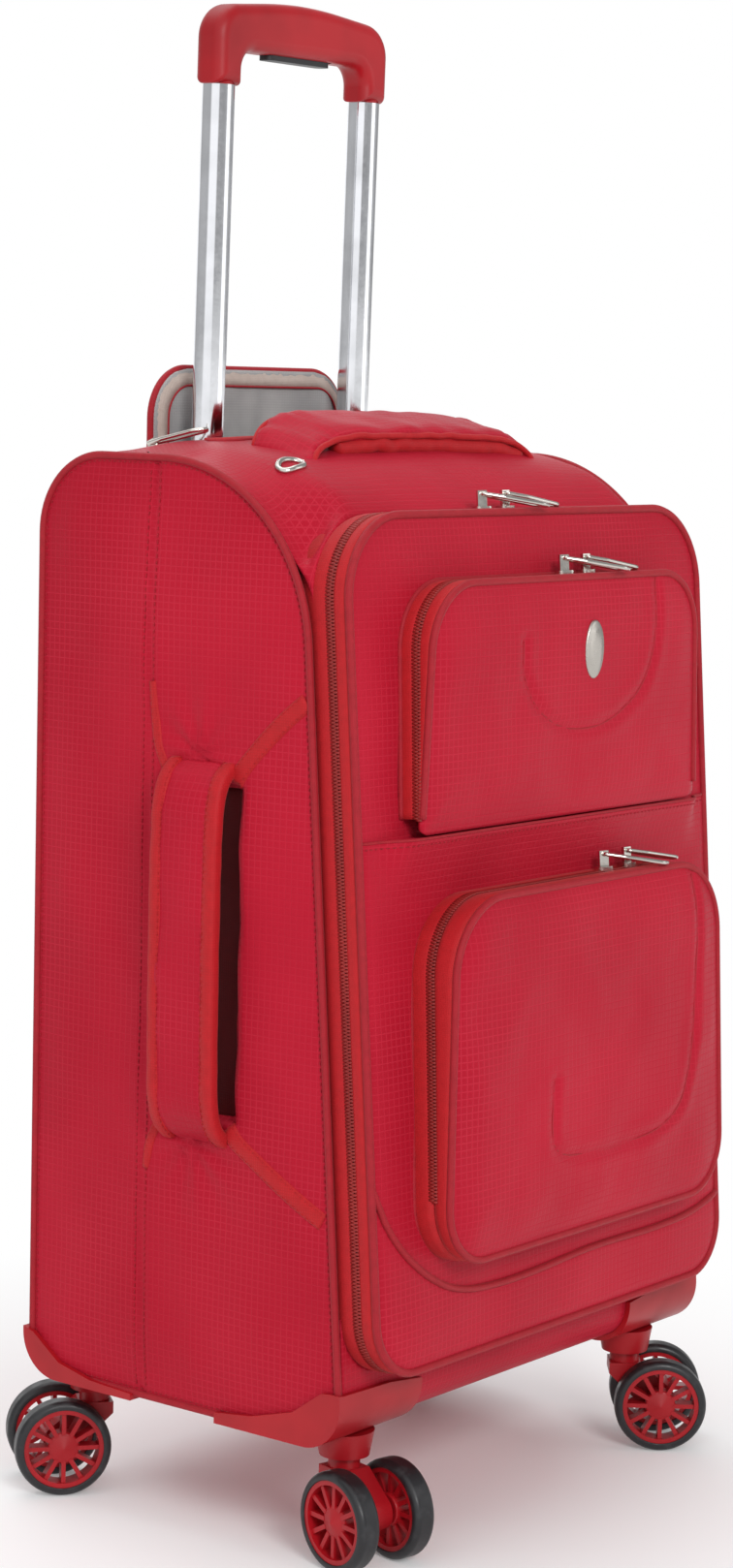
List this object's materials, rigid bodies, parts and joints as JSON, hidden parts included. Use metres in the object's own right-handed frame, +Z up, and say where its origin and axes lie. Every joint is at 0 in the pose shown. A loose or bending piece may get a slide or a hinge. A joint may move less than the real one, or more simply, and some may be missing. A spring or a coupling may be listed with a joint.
{
  "type": "softside upright suitcase",
  "caption": "Softside upright cabin suitcase with a raised trolley handle, hinged zip lid, zipped front pockets, carry handles and twin-wheel spinner casters.",
  "frame": {"origin": "on the floor, midway between the four caster swivel axes", "axes": "+Z up, +Y towards the back panel and trolley tubes, -Y towards the lid and pockets, +X to the right seen from the front"},
  "size_m": [0.3467, 0.2723, 0.7786],
  "materials": {
    "shell_fabric": "ripstop weave with a soft sheen",
    "trim_fabric": "zip tape, piping and bindings",
    "lining_fabric": "grey lining",
    "red_plastic": "moulded, satin",
    "tyre_rubber": "smooth",
    "chrome_tube": "polished",
    "zip_metal": "plated",
    "badge_metal": "satin",
    "inner_steel": "plain",
    "outer_aluminium": "plain",
    "dark_plastic": "moulded",
    "zip_teeth": "nylon coil"
  },
  "bodies": {
    "case": {"side_panel_left": "shell_fabric", "side_panel_right": "shell_fabric", "top_panel": "shell_fabric", "back_panel": "shell_fabric", "base_panel": "shell_fabric", "front_rim": "trim_fabric", "rim_wire": "inner_steel", "top_handle": "shell_fabric", "side_handle": "shell_fabric", "eyelet": "zip_metal", "kingpins": "inner_steel", "swivel_bearings": "inner_steel", "outer_tubes": "outer_aluminium", "trolley_cup": "dark_plastic", "foot_bracket": "dark_plastic", "corner_guard_fl": "red_plastic", "corner_guard_fr": "red_plastic", "corner_guard_bl": "red_plastic", "corner_guard_br": "red_plastic"},
    "trolley_mid": {"mid_tubes": "chrome_tube"},
    "trolley_top": {"top_tubes": "chrome_tube", "grip": "red_plastic"},
    "release": {"release_bar": "dark_plastic"},
    "lid": {"lid_panel": "shell_fabric", "upper_pocket_rim": "trim_fabric", "lower_pocket_rim": "trim_fabric"},
    "upper_flap": {"upper_flap": "shell_fabric", "badge": "badge_metal"},
    "lower_flap": {"lower_flap": "shell_fabric"},
    "rear_flap": {"rear_flap": "shell_fabric"},
    "main_slider_left": {"main_slider_left": "zip_metal"},
    "main_pull_left": {"main_pull_left": "zip_metal"},
    "main_slider_right": {"main_slider_right": "zip_metal"},
    "main_pull_right": {"main_pull_right": "zip_metal"},
    "upper_slider_left": {"upper_slider_left": "zip_metal"},
    "upper_pull_left": {"upper_pull_left": "zip_metal"},
    "upper_slider_right": {"upper_slider_right": "zip_metal"},
    "upper_pull_right": {"upper_pull_right": "zip_metal"},
    "lower_slider_left": {"lower_slider_left": "zip_metal"},
    "lower_pull_left": {"lower_pull_left": "zip_metal"},
    "lower_slider_right": {"lower_slider_right": "zip_metal"},
    "lower_pull_right": {"lower_pull_right": "zip_metal"},
    "rear_slider": {"rear_slider": "zip_metal"},
    "rear_pull": {"rear_pull": "zip_metal"},
    "fork_fl": {"fork_fl": "red_plastic"},
    "wheels_fl": {"axle_fl": "inner_steel", "rims_fl": "red_plastic", "tyres_fl": "tyre_rubber"},
    "fork_fr": {"fork_fr": "red_plastic"},
    "wheels_fr": {"axle_fr": "inner_steel", "rims_fr": "red_plastic", "tyres_fr": "tyre_rubber"},
    "fork_bl": {"fork_bl": "red_plastic"},
    "wheels_bl": {"axle_bl": "inner_steel", "rims_bl": "red_plastic", "tyres_bl": "tyre_rubber"},
    "fork_br": {"fork_br": "red_plastic"},
    "wheels_br": {"axle_br": "inner_steel", "rims_br": "red_plastic", "tyres_br": "tyre_rubber"}
  },
  "joints": [
    {"name": "trolley_mid_slide", "type": "slide", "parent": "case", "child": "trolley_mid", "axis": [0, -0.0175, 0.9998], "range_m": [0, 0.2]},
    {"name": "trolley_top_slide", "type": "slide", "parent": "trolley_mid", "child": "trolley_top", "axis": [0, -0.0175, 0.9998], "range_m": [-0.245, 0]},
    {"name": "release_press", "type": "slide", "parent": "trolley_top", "child": "release", "axis": [0, -0.0175, 0.9998], "range_m": [0, 0.003], "stiffness_N_per_m": 400, "springref_m": -0.002},
    {"name": "lid_hinge", "type": "hinge", "parent": "case", "child": "lid", "pos_m": [0.1555, -0.09947, 0.29086], "axis": [0, 0.0785, 0.9969], "range_deg": [0, 115]},
    {"name": "upper_flap_hinge", "type": "hinge", "parent": "lid", "child": "upper_flap", "pos_m": [0, -0.11874, 0.3646], "axis": [1, 0, 0], "range_deg": [0, 90]},
    {"name": "lower_flap_hinge", "type": "hinge", "parent": "lid", "child": "lower_flap", "pos_m": [0, -0.14335, 0.15388], "axis": [1, 0, 0], "range_deg": [0, 90]},
    {"name": "rear_flap_hinge", "type": "hinge", "parent": "case", "child": "rear_flap", "pos_m": [0, 0.1005, 0.524], "axis": [-1, 0, 0], "range_deg": [0, 160]},
    {"name": "main_slider_left_slide", "type": "slide", "parent": "lid", "child": "main_slider_left", "axis": [1, 0, 0], "range_m": [-0.08, 0]},
    {"name": "main_pull_left_flip", "type": "hinge", "parent": "main_slider_left", "child": "main_pull_left", "pos_m": [-0.028, -0.08087, 0.52713], "axis": [-0.5, -0.8634, 0.0679], "range_deg": [0, 165]},
    {"name": "main_slider_right_slide", "type": "slide", "parent": "lid", "child": "main_slider_right", "axis": [1, 0, 0], "range_m": [0, 0.07]},
    {"name": "main_pull_right_flip", "type": "hinge", "parent": "main_slider_right", "child": "main_pull_right", "pos_m": [-0.008, -0.08087, 0.52713], "axis": [-0.1736, -0.9818, 0.0773], "range_deg": [0, 95]},
    {"name": "upper_slider_left_slide", "type": "slide", "parent": "upper_flap", "child": "upper_slider_left", "axis": [1, 0, 0], "range_m": [-0.07, 0]},
    {"name": "upper_pull_left_flip", "type": "hinge", "parent": "upper_slider_left", "child": "upper_pull_left", "pos_m": [0.0096, -0.10647, 0.49504], "axis": [-0.5, -0.8634, 0.0679], "range_deg": [0, 105]},
    {"name": "upper_slider_right_slide", "type": "slide", "parent": "upper_flap", "child": "upper_slider_right", "axis": [1, 0, 0], "range_m": [0, 0.045]},
    {"name": "upper_pull_right_flip", "type": "hinge", "parent": "upper_slider_right", "child": "upper_pull_right", "pos_m": [0.0292, -0.10647, 0.49504], "axis": [-0.1736, -0.9818, 0.0773], "range_deg": [0, 95]},
    {"name": "lower_slider_left_slide", "type": "slide", "parent": "lower_flap", "child": "lower_slider_left", "axis": [1, 0, 0], "range_m": [-0.1, 0]},
    {"name": "lower_pull_left_flip", "type": "hinge", "parent": "lower_slider_left", "child": "lower_pull_left", "pos_m": [0.0338, -0.12054, 0.34167], "axis": [-0.5, -0.8634, 0.0679], "range_deg": [0, 60]},
    {"name": "lower_slider_right_slide", "type": "slide", "parent": "lower_flap", "child": "lower_slider_right", "axis": [1, 0, 0], "range_m": [0, 0.02]},
    {"name": "lower_pull_right_flip", "type": "hinge", "parent": "lower_slider_right", "child": "lower_pull_right", "pos_m": [0.0552, -0.12054, 0.34167], "axis": [-0.1736, -0.9818, 0.0773], "range_deg": [0, 48]},
    {"name": "rear_slider_slide", "type": "slide", "parent": "case", "child": "rear_slider", "axis": [0, -0.9165, 0.4], "range_m": [0, 0.008]},
    {"name": "rear_pull_flip", "type": "hinge", "parent": "rear_slider", "child": "rear_pull", "pos_m": [-0.098, 0.0796, 0.54791], "axis": [-1, 0, 0], "range_deg": [0, 165]},
    {"name": "swivel_fl", "type": "hinge", "parent": "case", "child": "fork_fl", "pos_m": [-0.126, -0.084, 0.05], "axis": [0, 0, 1], "continuous": true},
    {"name": "roll_fl", "type": "hinge", "parent": "fork_fl", "child": "wheels_fl", "pos_m": [-0.13021, -0.10253, 0.0252], "axis": [-0.9751, 0.2215, 0], "continuous": true},
    {"name": "swivel_fr", "type": "hinge", "parent": "case", "child": "fork_fr", "pos_m": [0.126, -0.084, 0.05], "axis": [0, 0, 1], "continuous": true},
    {"name": "roll_fr", "type": "hinge", "parent": "fork_fr", "child": "wheels_fr", "pos_m": [0.13775, -0.09893, 0.0252], "axis": [-0.7859, -0.6184, 0], "continuous": true},
    {"name": "swivel_bl", "type": "hinge", "parent": "case", "child": "fork_bl", "pos_m": [-0.126, 0.084, 0.05], "axis": [0, 0, 1], "continuous": true},
    {"name": "roll_bl", "type": "hinge", "parent": "fork_bl", "child": "wheels_bl", "pos_m": [-0.14072, 0.09601, 0.0252], "axis": [0.632, 0.7749, 0], "continuous": true},
    {"name": "swivel_br", "type": "hinge", "parent": "case", "child": "fork_br", "pos_m": [0.126, 0.084, 0.05], "axis": [0, 0, 1], "continuous": true},
    {"name": "roll_br", "type": "hinge", "parent": "fork_br", "child": "wheels_br", "pos_m": [0.11256, 0.07057, 0.0252], "axis": [-0.7071, 0.7071, 0], "continuous": true}
  ]
}
